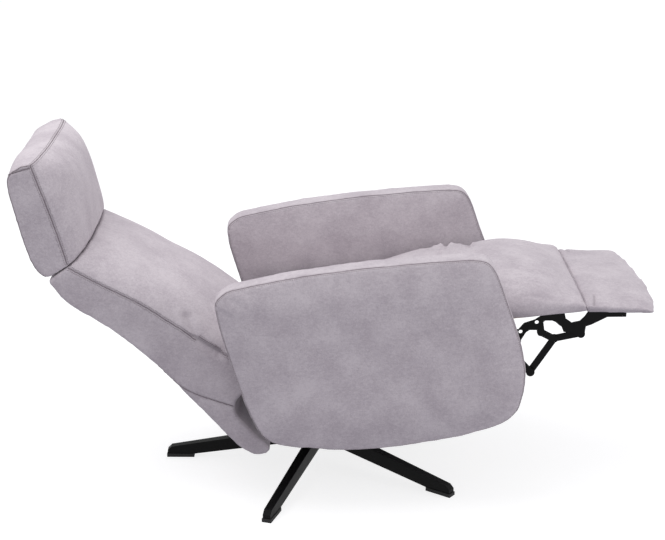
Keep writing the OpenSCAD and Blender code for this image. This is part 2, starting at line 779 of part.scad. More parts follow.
module back_rear_panel() {
  rear = back_points(back_rear_shares);
  inner = moved(rear, back_inward * back_panel_t);
  top = rear[0] + crease_along * back_panel_t;
  color("#aaa2a6") seat_frame() slab(-back_plate_out, back_plate_out)
    polygon(concat(rear, [for (i = [len(rear) - 1 : -1 : 1]) inner[i]], [top]));
}

module back_skirt() {
  color("#aaa2a6") seat_frame() slab(-back_plate_out, back_plate_out)
    polygon(back_points(back_skirt_shares));
}

module back_cushion() {
  lift = pad_inward * (pad_edge - seat_gap);
  seam = smooth_line(back_points(back_seam_shares), 2);
  crown = smooth_line(back_points(back_crown_shares), 2);
  color("#cdc7c8") seat_frame()
    crowned_pad(reversed(seam), reversed(crown), reversed(moved(seam, lift)), back_w / 2, back_draw);
}

module back_top_board() {
  a = crease_back + crease_along * (back_panel_t + top_board_gap) - crease_up * crease_half;
  b = crease_front - crease_along * (pad_edge + top_board_gap) - crease_up * crease_half;
  down = crease_up * board_t / 2;
  color("#a08a6a") seat_frame() difference() {
    slab(-back_plate_out, back_plate_out) polygon([a, b, b - down, a - down]);
    slab_pair(headrest_leaf_y - cut_over, headrest_leaf_y + 2 * plate_t + layer_gap + cut_over)
      link_2d(headrest_pin(), back_top_bar(), headrest_leaf_w, headrest_eye_r + cut_over, 0, 0, 0);
  }
}

// Headrest

function headrest_pin() = crease_back + crease_along * headrest_pin_in;
function back_top_bar() = mix(upright_foot, upright_head, back_bar_shares[2]);
function headrest_up() = [-sin(headrest_lean), cos(headrest_lean)];
function headrest_out() = [cos(headrest_lean), sin(headrest_lean)];
function headrest_leaf_end() = headrest_pin() + headrest_up() * headrest_leaf_up;

module headrest_core() {
  up = headrest_up() * headrest_h;
  out = headrest_out();
  foot = crease_front + [0, crease_half] - out * pad_edge;
  rear = [for (s = headrest_rear_shares) foot + up * s.x - out * (headrest_side_t - pad_edge) * s.y];
  color("#b6aeb2") seat_frame() difference() {
    slab(-headrest_w / 2, headrest_w / 2)
      polygon(concat([headrest_pin() + [0, 2 * crease_half], foot], rear));
    slab_pair(headrest_leaf_y - cut_over, headrest_leaf_y + 2 * plate_t + layer_gap + cut_over)
      translate(headrest_pin()) circle(r = headrest_eye_r + pocket_gap);
    slab_pair(headrest_leaf_y + plate_t + layer_gap, headrest_leaf_y + 2 * plate_t + layer_gap)
      bar_2d(headrest_pin(), headrest_leaf_end(), headrest_leaf_w);
  }
}

module headrest_pad() {
  up = headrest_up() * headrest_h;
  out = headrest_out();
  foot = crease_front + [0, crease_half + seat_gap];
  seam = smooth_line([for (s = headrest_front_shares) foot + up * s[0]], 2);
  crown = smooth_line([for (s = headrest_front_shares) foot + up * s[1] + out * headrest_crown * s[2]], 2);
  color("#cfc9ca") seat_frame()
    crowned_pad(seam, crown, moved(seam, -out * (pad_edge - seat_gap)), headrest_w / 2, headrest_draw);
}

// Leaves of the headrest hinge: the back's leaf holds the pin, the headrest's leaf turns on it
module headrest_hinges() {
  far = headrest_leaf_y + 2 * plate_t + layer_gap;
  color("#2d2e30") seat_frame() {
    slab_pair(headrest_leaf_y, headrest_leaf_y + plate_t)
      link_2d(headrest_pin(), back_top_bar(), headrest_leaf_w,
        headrest_eye_r, back_bar_r + plate_t, 0, back_bar_r);
    cross_rod_pair(headrest_pin(), headrest_pin_r, headrest_leaf_y + plate_t, far);
  }
}

module headrest_leaves() {
  near = headrest_leaf_y + plate_t + layer_gap;
  color("#2d2e30") seat_frame() slab_pair(near, near + plate_t)
    link_2d(headrest_pin(), headrest_leaf_end(), headrest_leaf_w,
      headrest_eye_r, 0, headrest_pin_r + running_gap, 0);
}

// Footrest

module main_board() {
  color("#a08a6a") seat_frame() translate([hinge.x + main_board_back, -outer_layer - plate_t, board_z])
    cube([main_pad_len - plate_t, 2 * (outer_layer + plate_t), board_t]);
}

module main_brackets() {
  low = [for (s = main_low_shares) hinge + flap_pivot_dx * s];
  high = [for (s = main_high_shares) hinge + flap_pivot_dx * s];
  board = [for (s = main_board_shares) [hinge.x + flap_pivot_dx * s, board_z]];
  color("#141515") seat_frame() {
    difference() {
      slab_pair(outer_layer, outer_layer + plate_t) {
        difference() {
          polygon(concat([hinge + [-link_w / 2, 0], hinge + [0, -link_w / 2]], low,
            [board[0], board[1]], high, [board[2], [hinge.x + main_board_back, board_z],
            hinge + [0, link_w / 2]]));
          for (s = main_hole_shares) {
            translate(hinge + flap_pivot_dx * s) circle(r = rivet_r);
          }
        }
        translate(hinge) circle(r = main_eye_r);
        translate(lever_pivot) circle(r = main_eye_r);
        translate(main_pivot) circle(r = eye_r);
        translate(flap_pivot) circle(r = main_eye_r);
      }
      cross_rod_pair(hinge, rivet_r + running_gap, outer_layer - cut_over, outer_layer + plate_t + cut_over);
      cross_rod_pair(lever_pivot, lever_tube_r, outer_layer - cut_over, outer_layer + plate_t + cut_over);
    }
    cross_rod_pair(main_pivot, rivet_r, middle_layer - layer_gap / 4, outer_layer);
    cross_rod_pair(flap_pivot, rivet_r, middle_layer - layer_gap / 4, outer_layer);
  }
}

module lever_tube() {
  reach = outer_layer + plate_t;
  color("#141515") seat_frame() cross_rod(lever_pivot, lever_tube_r, -reach, reach);
}

// A pad on the footrest, from start to end and standing on z
module footrest_pad(start, end, z, shares) {
  low = [for (s = shares) [mix(start, end, s[0]), z + footrest_side_h * s[1]]];
  rise = [for (s = shares) [0, footrest_crown * s[2]]];
  seam = smooth_line(low, 2);
  crown = smooth_line(low + rise, 2);
  under = [for (p = seam) [p.x, z]];
  crowned_pad(reversed(seam), reversed(crown), reversed(under), footrest_w / 2, footrest_draw);
}

module main_pad() {
  start = hinge.x + main_pad_back;
  color("#c9bfbe") seat_frame() footrest_pad(start, start + main_pad_len, pad_z, main_shares);
}

// Turns flap geometry, drawn level from the flap pivot, to its drooping place
module flap_frame() {
  translate([flap_pivot.x, 0, flap_pivot.y]) rotate([0, flap_droop, 0]) children();
}

module flap_board() {
  half = middle_layer + plate_t;
  color("#a08a6a") seat_frame() flap_frame() translate([flap_start, -half, flap_lift])
    cube([flap_pad_len - 2 * plate_t - flap_board_t, 2 * half, flap_board_t]);
}

module flap_brackets() {
  far = flap_end_pivot - flap_pivot;
  droop = atan2(far.y, far.x) + flap_droop;
  p = norm(far) * [cos(droop), sin(droop)];
  bar_end = flap_start + flap_pad_len * flap_bar_share;
  bar_h = flap_lift * flap_bar_h_share;
  low = [for (s = flap_low_shares) flap_lift * s];
  high = [for (s = flap_high_shares) flap_lift * s];
  color("#141515") seat_frame() flap_frame() {
    difference() {
      slab_pair(middle_layer, middle_layer + plate_t) {
        polygon(concat([[0, -link_w / 2], p + [0, -link_w / 2], p + [link_w / 2, 0]], low,
          [[bar_end, flap_lift - bar_h], [bar_end, flap_lift], [flap_start + plate_t, flap_lift]], high,
          [[0, link_w / 2]]));
        circle(r = hinge_eye_r);
        translate(p) circle(r = flap_eye_r);
      }
      cross_rod_pair([0, 0], rivet_r + running_gap,
        middle_layer - cut_over, middle_layer + plate_t + cut_over);
    }
    cross_rod_pair(p, rivet_r, inner_layer - layer_gap / 4, middle_layer);
  }
}

module flap_pad() {
  end = flap_start + flap_pad_len;
  z = flap_lift + flap_board_t + seat_gap;
  color("#c9bfbe") seat_frame() flap_frame() footrest_pad(flap_start, end, z, flap_shares);
}

module link_hinge_bars() {
  color("#141515") seat_frame() {
    slab_pair(middle_layer, middle_layer + plate_t) difference() {
      union() {
        bar_2d(bar_pivot, low_pivot, link_w);
        translate(bar_pivot) circle(r = eye_r);
        translate(low_pivot) circle(r = open_eye_r);
      }
      translate(bar_pivot) circle(r = rivet_r + running_gap);
    }
    cross_rod_pair(low_pivot, rivet_r, inner_layer - layer_gap / 4, middle_layer);
  }
}

module link_short_bars() {
  color("#141515") seat_frame() {
    slab_pair(middle_layer, middle_layer + plate_t) difference() {
      union() {
        bar_2d(main_pivot, joint_pivot, link_w);
        translate(main_pivot) circle(r = eye_r);
        translate(joint_pivot) circle(r = eye_r);
      }
      translate(main_pivot) circle(r = rivet_r + running_gap);
    }
    cross_rod_pair(joint_pivot, rivet_r, inner_layer - layer_gap / 4, middle_layer);
  }
}

module link_long_bars() {
  color("#141515") seat_frame() slab_pair(inner_layer, inner_layer + plate_t) difference() {
    union() {
      bar_2d(low_pivot, joint_pivot, link_w);
      bar_2d(joint_pivot, flap_end_pivot, link_w);
      translate(low_pivot) circle(r = open_eye_r);
      translate(joint_pivot) circle(r = open_eye_r);
      translate(flap_end_pivot) circle(r = open_eye_r);
    }
    translate(low_pivot) circle(r = open_hole_r);
    translate(joint_pivot) circle(r = rivet_r + running_gap);
    translate(flap_end_pivot) circle(r = open_hole_r);
  }
}

base_hub();
base_leg(0);  // base_leg_1
base_leg(1);  // base_leg_2
base_leg(2);  // base_leg_3
base_leg(3);  // base_leg_4
base_leg(4);  // base_leg_5
foot_pads();
column();
swivel_bearing();
swivel_plate();
tilt_bracket();
tilt_pin();
tilt_buffers();
tilt_saddle();
cradle_plates();
rail(1);  // rail_left
rail(-1);  // rail_right
front_crossbar();
rear_crossbar();
seat_webbing();
hinge_brackets();
arm_core(1);  // arm_core_left
arm_core(-1);  // arm_core_right
arm_strip(1);  // arm_strip_left
arm_strip(-1);  // arm_strip_right
arm_outer_pad(1);  // arm_outer_pad_left
arm_outer_pad(-1);  // arm_outer_pad_right
arm_inner_pad(1);  // arm_inner_pad_left
arm_inner_pad(-1);  // arm_inner_pad_right
arm_bolts();
footrest_motor();
back_motor();
seat_cushion();
footrest_rod();
back_rod();
back_uprights();
back_crossbars();
back_hinge_plates();
back_cross_pin();
back_side(1);  // back_side_left
back_side(-1);  // back_side_right
back_rear_panel();
back_skirt();
back_cushion();
back_top_board();
headrest_core();
headrest_pad();
headrest_hinges();
headrest_leaves();
main_board();
main_brackets();
lever_tube();
main_pad();
flap_board();
flap_brackets();
flap_pad();
link_hinge_bars();
link_short_bars();
link_long_bars();
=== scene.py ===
# A swivel recliner on a star base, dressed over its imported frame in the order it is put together.
import math

import bmesh
import bpy
import numpy as np
from mathutils import Matrix, Vector, noise
from mathutils.bvhtree import BVHTree
from mathutils.kdtree import KDTree


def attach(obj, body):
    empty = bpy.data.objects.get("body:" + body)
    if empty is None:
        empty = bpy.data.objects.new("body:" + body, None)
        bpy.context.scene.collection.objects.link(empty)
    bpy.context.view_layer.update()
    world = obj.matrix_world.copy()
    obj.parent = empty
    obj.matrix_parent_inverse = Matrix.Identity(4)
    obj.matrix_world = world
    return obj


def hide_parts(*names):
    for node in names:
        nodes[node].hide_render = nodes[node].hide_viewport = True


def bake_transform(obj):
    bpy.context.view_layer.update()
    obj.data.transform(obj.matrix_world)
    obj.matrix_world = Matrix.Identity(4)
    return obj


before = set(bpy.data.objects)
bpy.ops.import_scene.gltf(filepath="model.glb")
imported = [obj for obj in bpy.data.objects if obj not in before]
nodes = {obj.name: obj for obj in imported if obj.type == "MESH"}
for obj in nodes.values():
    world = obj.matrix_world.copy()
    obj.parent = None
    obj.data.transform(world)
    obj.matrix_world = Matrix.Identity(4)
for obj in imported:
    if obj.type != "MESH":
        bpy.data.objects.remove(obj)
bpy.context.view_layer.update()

# Studio camera: a long lens, square on to the recliner's right side and looking a little down.
# It stands nearly four metres away, so that the star base and both arms show.
photo_width_px = 665
focal_px = 1600
sensor_mm = 36
camera_azimuth = math.radians(-0.877)
camera_elevation = math.radians(17.928)
camera_roll = math.radians(-0.098)
camera_place = (-0.0304, -3.8908, 1.777)
far_clip = 50
camera_back = Vector((math.sin(camera_azimuth) * math.cos(camera_elevation),
                      -math.cos(camera_azimuth) * math.cos(camera_elevation), math.sin(camera_elevation)))
camera_right = Vector((math.cos(camera_azimuth), math.sin(camera_azimuth), 0))
camera_up = camera_back.cross(camera_right)
lens = bpy.data.cameras.new("studio_camera")
lens.sensor_width = sensor_mm
lens.lens = focal_px * sensor_mm / photo_width_px
lens.clip_end = far_clip
camera = bpy.data.objects.new("studio_camera", lens)
camera.matrix_world = (Matrix.Translation(camera_place)
                       @ Matrix((camera_right, camera_up, camera_back)).transposed().to_4x4()
                       @ Matrix.Rotation(camera_roll, 4, "Z"))
bpy.context.scene.collection.objects.link(camera)
bpy.context.scene.camera = camera
bpy.context.scene.view_settings.view_transform = "Standard"


# Studio floor: seamless white paper, lit from all round, with a soft shadow under the base.
# Seen by the camera or in a reflection it is nearly white, and it bounces pale light up.
def linear(colour):
    """An sRGB hex colour as a linear one, with alpha."""
    parts = [int(colour[i:i + 2], 16) / 255 for i in (1, 3, 5)]
    return [c / 12.92 if c <= 0.04045 else ((c + 0.055) / 1.055) ** 2.4 for c in parts] + [1.0]


def add_node(tree, kind, links=None, **settings):
    """A node with its settings. links gives a socket's name or number: a value, or (node, output)."""
    added = tree.nodes.new(kind)
    for name, value in settings.items():
        setattr(added, name, value)
    for socket, value in (links or {}).items():
        if isinstance(value, tuple) and isinstance(value[0], bpy.types.Node):
            tree.links.new(value[0].outputs[value[1]], added.inputs[socket])
        else:
            added.inputs[socket].default_value = value
    return added


def new_material(name):
    """A material and its empty node tree."""
    material = bpy.data.materials.new(name)
    material.use_nodes = True
    material.node_tree.nodes.clear()
    return material, material.node_tree


def seen_directly(tree):
    """1 for a camera, mirror or glass ray, and 0 for light that bounces."""
    ray = add_node(tree, "ShaderNodeLightPath")
    seen = add_node(tree, "ShaderNodeMath", {0: (ray, "Is Camera Ray"), 1: (ray, "Is Glossy Ray")},
                    operation="MAXIMUM")
    return add_node(tree, "ShaderNodeMath", {0: (seen, 0), 1: (ray, "Is Transmission Ray")},
                    operation="MAXIMUM")


# Matt paper roll: it bounces a pale grey, and to the camera it glows up to nearly white
paper_half_width = 9
paper, tree = new_material("white_paper_sweep")
matt = add_node(tree, "ShaderNodeBsdfDiffuse", {"Color": linear("#C4C4CA")})
shaded = add_node(tree, "ShaderNodeBsdfDiffuse", {"Color": linear("#A6A6A6")})
glow = add_node(tree, "ShaderNodeEmission", {"Color": linear("#FFFFFF"), "Strength": 0.78})
bright = add_node(tree, "ShaderNodeAddShader", {0: (shaded, 0), 1: (glow, 0)})
mixed = add_node(tree, "ShaderNodeMixShader", {0: (seen_directly(tree), 0), 1: (matt, 0), 2: (bright, 0)})
add_node(tree, "ShaderNodeOutputMaterial", {"Surface": (mixed, 0)})
bm = bmesh.new()
bmesh.ops.create_grid(bm, x_segments=1, y_segments=1, size=paper_half_width)
floor_mesh = bpy.data.meshes.new("studio_floor")
bm.to_mesh(floor_mesh)
bm.free()
floor_mesh.materials.append(paper)
studio_floor = bpy.data.objects.new("studio_floor", floor_mesh)
bpy.context.scene.collection.objects.link(studio_floor)

world = bpy.data.worlds.new("white_studio")
world.use_nodes = True
tree = world.node_tree
tree.nodes.clear()
room = add_node(tree, "ShaderNodeBackground", {"Color": linear("#F9F9FF"), "Strength": 0.65})
backdrop = add_node(tree, "ShaderNodeBackground", {"Color": linear("#FFFFFF"), "Strength": 1.0})
mixed = add_node(tree, "ShaderNodeMixShader", {0: (seen_directly(tree), 0), 1: (room, 0), 2: (backdrop, 0)})
add_node(tree, "ShaderNodeOutputWorld", {"Surface": (mixed, 0)})
bpy.context.scene.world = world


def softbox(name, place, target, width, height, watts):
    """A flat lamp that faces its target."""
    lamp = bpy.data.lights.new(name, "AREA")
    lamp.shape = "RECTANGLE"
    lamp.size = width
    lamp.size_y = height
    lamp.energy = watts
    holder = bpy.data.objects.new(name, lamp)
    holder.location = place
    holder.rotation_euler = (Vector(target) - Vector(place)).to_track_quat("-Z", "Y").to_euler()
    bpy.context.scene.collection.objects.link(holder)


softbox("overhead_softbox", place=(-1.1, -0.1, 3.2), target=(0, 0, 0.4), width=3.2, height=2.4, watts=60)
softbox("side_softbox", place=(3.2, -1.2, 1.2), target=(0, 0, 0.5), width=1.8, height=1.8, watts=25)


# Star base: five tapered legs of folded steel welded to a hub and powder coated matt black.
# Moulded rubber pads are pressed under the tips, and a plain bearing sits on the column.
metre_mm = 1000


def powder_coat(name, colour, rough, peel_mm, rub_mm=45):
    """Baked paint: a faint orange peel and patches rubbed duller keep its reflections soft."""
    material, tree = new_material(name)
    place = add_node(tree, "ShaderNodeTexCoord")
    peel = add_node(tree, "ShaderNodeTexNoise",
                    {"Vector": (place, "Object"), "Scale": metre_mm / peel_mm, "Detail": 2.0})
    rub = add_node(tree, "ShaderNodeTexNoise",
                   {"Vector": (place, "Object"), "Scale": metre_mm / rub_mm, "Detail": 4.0, "Roughness": 0.6})
    dull = add_node(tree, "ShaderNodeMapRange",
                    {"Value": (rub, "Fac"), "To Min": rough - 0.06, "To Max": rough + 0.08})
    bump = add_node(tree, "ShaderNodeBump",
                    {"Height": (peel, "Fac"), "Strength": 0.25, "Distance": 0.0002})
    paint = add_node(tree, "ShaderNodeBsdfPrincipled",
                     {"Base Color": linear(colour), "Roughness": (dull, 0), "Normal": (bump, 0),
                      "Specular IOR Level": 0.12})
    add_node(tree, "ShaderNodeOutputMaterial", {"Surface": (paint, 0)})
    return material


def dress(material, *names):
    """Gives CAD pieces their finish."""
    for name in names:
        nodes[name].data.materials.clear()
        nodes[name].data.materials.append(material)


base_coat = powder_coat("matt_black_powder_coat", "#040405", rough=0.5, peel_mm=1.6)
dress(base_coat, "base_hub", "column", *[f"base_leg_{i}" for i in range(1, 6)])

# Moulded rubber: the mould's spark grit leaves it dull, with hardly a highlight
mould_grit_mm = 2.5
rubber, tree = new_material("moulded_black_rubber")
place = add_node(tree, "ShaderNodeTexCoord")
grit = add_node(tree, "ShaderNodeTexNoise",
                {"Vector": (place, "Object"), "Scale": metre_mm / mould_grit_mm, "Detail": 3.0})
bump = add_node(tree, "ShaderNodeBump", {"Height": (grit, "Fac"), "Strength": 0.4, "Distance": 0.0003})
skin = add_node(tree, "ShaderNodeBsdfPrincipled",
                {"Base Color": linear("#1E1E1E"), "Roughness": 0.85, "Normal": (bump, 0), "IOR": 1.52})
add_node(tree, "ShaderNodeOutputMaterial", {"Surface": (skin, 0)})
dress(rubber, "foot_pads", "tilt_buffers")

# Zinc plate: bright, with small patches that differ a little in shine
spangle_mm = 6
zinc, tree = new_material("bright_zinc_plated_steel")
place = add_node(tree, "ShaderNodeTexCoord")
spangle = add_node(tree, "ShaderNodeTexNoise",
                   {"Vector": (place, "Object"), "Scale": metre_mm / spangle_mm, "Detail": 5.0})
tone = add_node(tree, "ShaderNodeMapRange", {"Value": (spangle, "Fac"), "To Min": 0.26, "To Max": 0.44})
metal = add_node(tree, "ShaderNodeBsdfPrincipled",
                 {"Base Color": linear("#B9BBBD"), "Metallic": 1.0, "Roughness": (tone, 0)})
add_node(tree, "ShaderNodeOutputMaterial", {"Surface": (metal, 0)})
dress(zinc, "swivel_bearing", "tilt_pin", "arm_bolts", "back_cross_pin")


# Swivel head and seat frame: pressed and welded steel, dipped in a thin matt black paint.
# Elastic webbing is stapled across the frame, and two motors in plastic housings hang under it.
frame_paint = powder_coat("thin_black_frame_paint", "#0B0C0D", rough=0.55, peel_mm=2.4)
dress(frame_paint, "swivel_plate", "tilt_bracket", "tilt_saddle", "cradle_plates", "rail_left", "rail_right",
      "front_crossbar", "rear_crossbar", "back_uprights", "back_crossbars", "back_hinge_plates",
      "headrest_hinges", "headrest_leaves")

# Woven webbing: dark ribs of yarn 3 mm apart with paler gaps, coarser than the real ones so
# that they show. The wave texture has 20 ribs for each unit of its scale.
web_rib_mm = 3
ribs_per_scale = 20
webbing, tree = new_material("woven_elastic_webbing")
place = add_node(tree, "ShaderNodeTexCoord")
ribs = add_node(tree, "ShaderNodeTexWave",
                {"Vector": (place, "Object"), "Scale": metre_mm / web_rib_mm / ribs_per_scale,
                 "Distortion": 0.6},
                wave_type="BANDS", bands_direction="X")
yarn = add_node(tree, "ShaderNodeMix", {0: (ribs, "Fac"), 6: linear("#2B2825"), 7: linear("#5A534B")},
                data_type="RGBA")
bump = add_node(tree, "ShaderNodeBump", {"Height": (ribs, "Fac"), "Strength": 0.6, "Distance": 0.0006})
cloth = add_node(tree, "ShaderNodeBsdfPrincipled",
                 {"Base Color": (yarn, 2), "Roughness": 0.9, "Normal": (bump, 0)})
add_node(tree, "ShaderNodeOutputMaterial", {"Surface": (cloth, 0)})
dress(webbing, "seat_webbing")

# Moulded polypropylene: a fine spark finish, half matt
spark_finish_mm = 1.8
housing, tree = new_material("moulded_black_polypropylene")
place = add_node(tree, "ShaderNodeTexCoord")
spark = add_node(tree, "ShaderNodeTexNoise",
                 {"Vector": (place, "Object"), "Scale": metre_mm / spark_finish_mm, "Detail": 2.0})
bump = add_node(tree, "ShaderNodeBump", {"Height": (spark, "Fac"), "Strength": 0.35, "Distance": 0.0002})
plastic = add_node(tree, "ShaderNodeBsdfPrincipled",
                   {"Base Color": linear("#202123"), "Roughness": 0.5, "Normal": (bump, 0), "IOR": 1.49})
add_node(tree, "ShaderNodeOutputMaterial", {"Surface": (plastic, 0)})
dress(housing, "footrest_motor", "back_motor")

# Hard chrome: ground and polished, with faint marks left from drawing the rod
drawing_mark_mm = 12
chrome, tree = new_material("hard_chromed_rod")
place = add_node(tree, "ShaderNodeTexCoord")
drawn = add_node(tree, "ShaderNodeTexNoise",
                 {"Vector": (place, "Object"), "Scale": metre_mm / drawing_mark_mm, "Detail": 4.0})
tone = add_node(tree, "ShaderNodeMapRange", {"Value": (drawn, "Fac"), "To Min": 0.08, "To Max": 0.2})
metal = add_node(tree, "ShaderNodeBsdfPrincipled",
                 {"Base Color": linear("#D6D8DA"), "Metallic": 1.0, "Roughness": (tone, 0)})
add_node(tree, "ShaderNodeOutputMaterial", {"Surface": (metal, 0)})
dress(chrome, "footrest_rod", "back_rod")

# Birch plywood: a pale, sanded face with long grain across the recliner
grain_per_metre = (60, 7, 60)
birch, tree = new_material("birch_plywood")
place = add_node(tree, "ShaderNodeTexCoord")
laid = add_node(tree, "ShaderNodeMapping", {"Vector": (place, "Object"), "Scale": grain_per_metre})
figure = add_node(tree, "ShaderNodeTexNoise", {"Vector": (laid, 0), "Scale": 1.0, "Detail": 6.0})
tone = add_node(tree, "ShaderNodeMix", {0: (figure, "Fac"), 6: linear("#B99A6C"), 7: linear("#DCC397")},
                data_type="RGBA")
wood = add_node(tree, "ShaderNodeBsdfPrincipled", {"Base Color": (tone, 2), "Roughness": 0.7})
add_node(tree, "ShaderNodeOutputMaterial", {"Surface": (wood, 0)})
dress(birch, "back_top_board", "main_board", "flap_board")


# Footrest linkage: stamped flat steel bars on rivets, in a satin black dip coat.
# The coat is thin and even, so it shines a little more than the powder coat on the base.
link_coat = powder_coat("satin_black_dip_coat", "#040405", rough=0.45, peel_mm=3.0)
dress(link_coat, "hinge_brackets", "main_brackets", "lever_tube", "flap_brackets", "link_hinge_bars",
      "link_short_bars", "link_long_bars")


# Arms: a timber board between two foam panels, in a cover of short brushed velour.
# A strip about 60 mm wide runs all round between two seams, each topstitched on the panel.
seat_lean = 6
tilt_height = 0.17
lean = (Matrix.Translation((0, 0, tilt_height)) @ Matrix.Rotation(math.radians(-seat_lean), 4, "Y")
        @ Matrix.Translation((0, 0, -tilt_height)))


# Brushed velour: a short dense pile that shades from grey to pale pink as it is laid over.
# It lies in soft patches and in short brushed marks, and its tips are drawn 3 mm apart,
# coarser than the real 1 mm ones so that they show.
nap_patch_mm = 90
brush_mark_mm = 7
brush_stretch = (0.7, 1, 1.2)
pile_mm = 3
marks_share = 0.9
velour, tree = new_material("brushed_velour_cover")
place = add_node(tree, "ShaderNodeTexCoord")
patches = add_node(tree, "ShaderNodeTexNoise",
                   {"Vector": (place, "Object"), "Scale": metre_mm / nap_patch_mm, "Detail": 3.0,
                    "Roughness": 0.55})
brushed = add_node(tree, "ShaderNodeMapping", {"Vector": (place, "Object"), "Scale": brush_stretch})
marks = add_node(tree, "ShaderNodeTexNoise",
                 {"Vector": (brushed, 0), "Scale": metre_mm / brush_mark_mm, "Detail": 4.0, "Roughness": 0.7})
pile = add_node(tree, "ShaderNodeTexNoise",
                {"Vector": (place, "Object"), "Scale": metre_mm / pile_mm, "Detail": 3.0, "Roughness": 0.7})
laid = add_node(tree, "ShaderNodeMath", {0: (marks, "Fac"), 1: marks_share, 2: (patches, "Fac")},
                operation="MULTIPLY_ADD")
laid = add_node(tree, "ShaderNodeMath", {0: (laid, 0), 1: (pile, "Fac")}, operation="ADD")
laid = add_node(tree, "ShaderNodeMath", {0: (laid, 0), 1: marks_share + 2}, operation="DIVIDE")
tones = add_node(tree, "ShaderNodeValToRGB", {"Fac": (laid, 0)})
tones.color_ramp.elements[0].position = 0.41
tones.color_ramp.elements[0].color = linear("#B1A8AE")
tones.color_ramp.elements[1].position = 0.59
tones.color_ramp.elements[1].color = linear("#CAC2C6")
bump = add_node(tree, "ShaderNodeBump", {"Height": (pile, "Fac"), "Strength": 0.5, "Distance": 0.0006})
bump = add_node(tree, "ShaderNodeBump",
                {"Height": (marks, "Fac"), "Strength": 0.35, "Distance": 0.0012, "Normal": (bump, 0)})
# Painted shade: the seam_shade attribute darkens the colour towards #6B6268 in the creases of seams, folds,
# pleats and pinches
crease_shade_amount = add_node(tree, "ShaderNodeAttribute", attribute_name="seam_shade")
painted_crease_shade = add_node(tree, "ShaderNodeMix", {0: (crease_shade_amount, "Fac"), 6: (tones, 0), 7: linear("#6B6268")},
                data_type="RGBA")
nap = add_node(tree, "ShaderNodeBsdfPrincipled",
               {"Base Color": (painted_crease_shade, 2), "Roughness": 0.9, "Normal": (bump, 0), "Sheen Weight": 0.25,
                "Sheen Roughness": 0.45, "Sheen Tint": linear("#F4EEF0"), "Specular IOR Level": 0.3})
add_node(tree, "ShaderNodeOutputMaterial", {"Surface": (nap, 0)})

# Spun polyester thread: darker than the cover, with a fine twist and a low shine
twist_mm = 1.5
thread, tree = new_material("spun_polyester_thread")
place = add_node(tree, "ShaderNodeTexCoord")
twist = add_node(tree, "ShaderNodeTexNoise",
                 {"Vector": (place, "Object"), "Scale": metre_mm / twist_mm, "Detail": 2.0})
tone = add_node(tree, "ShaderNodeMix", {0: (twist, "Fac"), 6: linear("#71666C"), 7: linear("#8C8287")},
                data_type="RGBA")
spun = add_node(tree, "ShaderNodeBsdfPrincipled", {"Base Color": (tone, 2), "Roughness": 0.6})
add_node(tree, "ShaderNodeOutputMaterial", {"Surface": (spun, 0)})


def hand_curve(points, steps, closed=False):
    """A smooth curve through given points."""
    p = [np.array(q, float) for q in points]
    n = len(p)
    curve = []
    for i in range(n if closed else n - 1):
        a = p[i - 1] if closed or i else p[i]
        b, c = p[i], p[(i + 1) % n]
        d = p[(i + 2) % n] if closed else p[min(i + 2, n - 1)]
        for k in range(steps):
            t = k / steps
            curve.append(0.5 * (2 * b + (c - a) * t + (2 * a - 5 * b + 4 * c - d) * t * t
                                + (3 * b - a - 3 * c + d) * t ** 3))
    return curve if closed else curve + [p[-1]]


def lofted(rings):
    """A closed form that grows from ring to ring, each of as many points, in millimetres."""
    bm = bmesh.new()
    first = [bm.verts.new([c / metre_mm for c in p]) for p in rings[0]]
    cap = bm.faces.new(first)
    for k, ring in enumerate(rings[1:]):
        grown = bmesh.ops.extrude_face_region(bm, geom=[cap])["geom"]
        end = next(g for g in grown if isinstance(g, bmesh.types.BMFace))
        for v, p in zip(end.verts, ring):
            v.co = Vector(p) / metre_mm
        if k:
            bmesh.ops.delete(bm, geom=[cap], context="FACES_ONLY")
        cap = end
    ends = [f for f in bm.faces if len(f.verts) > 4]
    rims = [(list(f.edges), f.normal.copy()) for f in ends]
    bmesh.ops.delete(bm, geom=ends, context="FACES_ONLY")
    for rim, facing in rims:
        bmesh.ops.triangle_fill(bm, use_beauty=True, edges=rim, normal=facing)
    bmesh.ops.recalc_face_normals(bm, faces=bm.faces)
    mesh = bpy.data.meshes.new("form")
    bm.to_mesh(mesh)
    bm.free()
    return mesh


def settled(piece):
    """The piece's mesh with its modifiers applied."""
    return bpy.data.meshes.new_from_object(piece.evaluated_get(bpy.context.evaluated_depsgraph_get()))


def places(mesh):
    """The mesh's vertices as an array, in metres."""
    co = np.empty(len(mesh.vertices) * 3)
    mesh.vertices.foreach_get("co", co)
    return co.reshape(-1, 3)


def directions(mesh):
    """The way each vertex faces."""
    out = np.empty(len(mesh.vertices) * 3, np.float32)
    mesh.vertex_normals.foreach_get("vector", out)
    return out.reshape(-1, 3)


def put(mesh, co):
    """Moves the mesh's vertices to new places."""
    mesh.vertices.foreach_set("co", np.ascontiguousarray(co, np.float32).ravel())
    mesh.update()


def sampled(line, pitch=2.0):
    """Points every pitch millimetres along a line, in metres, and their lengths along it."""
    line = np.array(line, float)
    step = np.linalg.norm(np.diff(line, axis=0), axis=1)
    along = np.concatenate([[0], np.cumsum(step)])
    s = np.arange(0, along[-1], pitch)
    return np.stack([np.interp(s, along, line[:, i]) for i in range(3)], 1) / metre_mm, s


seam_spacing_mm = 9999


def seam_distances(co, seams):
    """Each point's distance from the nearest seam and the length along that seam, in millimetres."""
    samples = [sampled(line) for line in seams]
    points = np.concatenate([p for p, s in samples])
    # Lengths start far apart from seam to seam, so that each puckers in its own way
    lengths = np.concatenate([s + seam_spacing_mm * k for k, (p, s) in enumerate(samples)])
    tree = KDTree(len(points))
    for i, p in enumerate(points):
        tree.insert(p, i)
    tree.balance()
    found = [tree.find(p)[1:] for p in co]
    return np.array([d for i, d in found]) * metre_mm, lengths[[i for i, d in found]]


stuffing_steps = 20
held_within_mm = 10
held_fade_mm = 5


